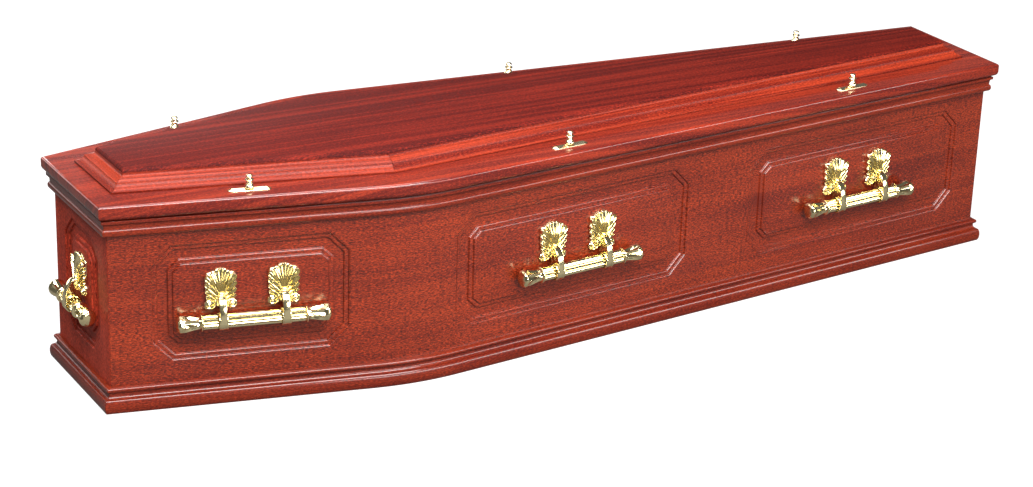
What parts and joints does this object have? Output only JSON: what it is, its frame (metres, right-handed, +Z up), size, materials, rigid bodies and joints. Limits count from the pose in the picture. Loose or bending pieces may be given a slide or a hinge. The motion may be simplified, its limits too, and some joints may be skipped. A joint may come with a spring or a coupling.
{
  "type": "wooden coffin",
  "caption": "Shouldered wooden coffin with a lift-off raised lid, moulded plinth and cornice, routed wall panels, shell-plated brass bar handles and turned lid screws; the box is hollow",
  "frame": {"origin": "middle of the underside, on the floor plane", "axes": "+X to the foot end, +Y to the left side, +Z up"},
  "size_m": [1.9854, 0.53, 0.4223],
  "materials": {
    "mahogany_board": "deep red-brown mahogany veneer under satin lacquer",
    "mahogany_moulding": "red mahogany mouldings under satin lacquer",
    "mahogany_lid": "bright red mahogany with straight darker stripes, semi-gloss lacquer",
    "brass": "polished and lacquered"
  },
  "bodies": {
    "root": {"base_board": "mahogany_board", "cornice_foot": "mahogany_moulding", "cornice_head": "mahogany_moulding", "cornice_left": "mahogany_moulding", "cornice_right": "mahogany_moulding", "foot_board": "mahogany_board", "handle_bar_foot_end": "brass", "handle_bar_foot_left": "brass", "handle_bar_foot_right": "brass", "handle_bar_head_end": "brass", "handle_bar_middle_left": "brass", "handle_bar_middle_right": "brass", "handle_bar_shoulder_left": "brass", "handle_bar_shoulder_right": "brass", "handle_plate_foot_end": "brass", "handle_plate_foot_left_1": "brass", "handle_plate_foot_left_2": "brass", "handle_plate_foot_right_1": "brass", "handle_plate_foot_right_2": "brass", "handle_plate_head_end": "brass", "handle_plate_middle_left_1": "brass", "handle_plate_middle_left_2": "brass", "handle_plate_middle_right_1": "brass", "handle_plate_middle_right_2": "brass", "handle_plate_shoulder_left_1": "brass", "handle_plate_shoulder_left_2": "brass", "handle_plate_shoulder_right_1": "brass", "handle_plate_shoulder_right_2": "brass", "head_board": "mahogany_board", "lid_board": "mahogany_lid", "lid_moulding_foot": "mahogany_lid", "lid_moulding_foot_left": "mahogany_lid", "lid_moulding_foot_right": "mahogany_lid", "lid_moulding_head": "mahogany_lid", "lid_moulding_head_left": "mahogany_lid", "lid_moulding_head_right": "mahogany_lid", "lid_top_panel": "mahogany_lid", "plinth_foot": "mahogany_moulding", "plinth_head": "mahogany_moulding", "plinth_left": "mahogany_moulding", "plinth_right": "mahogany_moulding", "screw_finial_foot_left": "brass", "screw_finial_foot_right": "brass", "screw_finial_head_left": "brass", "screw_finial_head_right": "brass", "screw_finial_middle_left": "brass", "screw_finial_middle_right": "brass", "screw_plate_foot_left": "brass", "screw_plate_foot_right": "brass", "screw_plate_head_left": "brass", "screw_plate_head_right": "brass", "screw_plate_middle_left": "brass", "screw_plate_middle_right": "brass", "side_board_left": "mahogany_board", "side_board_right": "mahogany_board"}
  },
  "joints": []
}
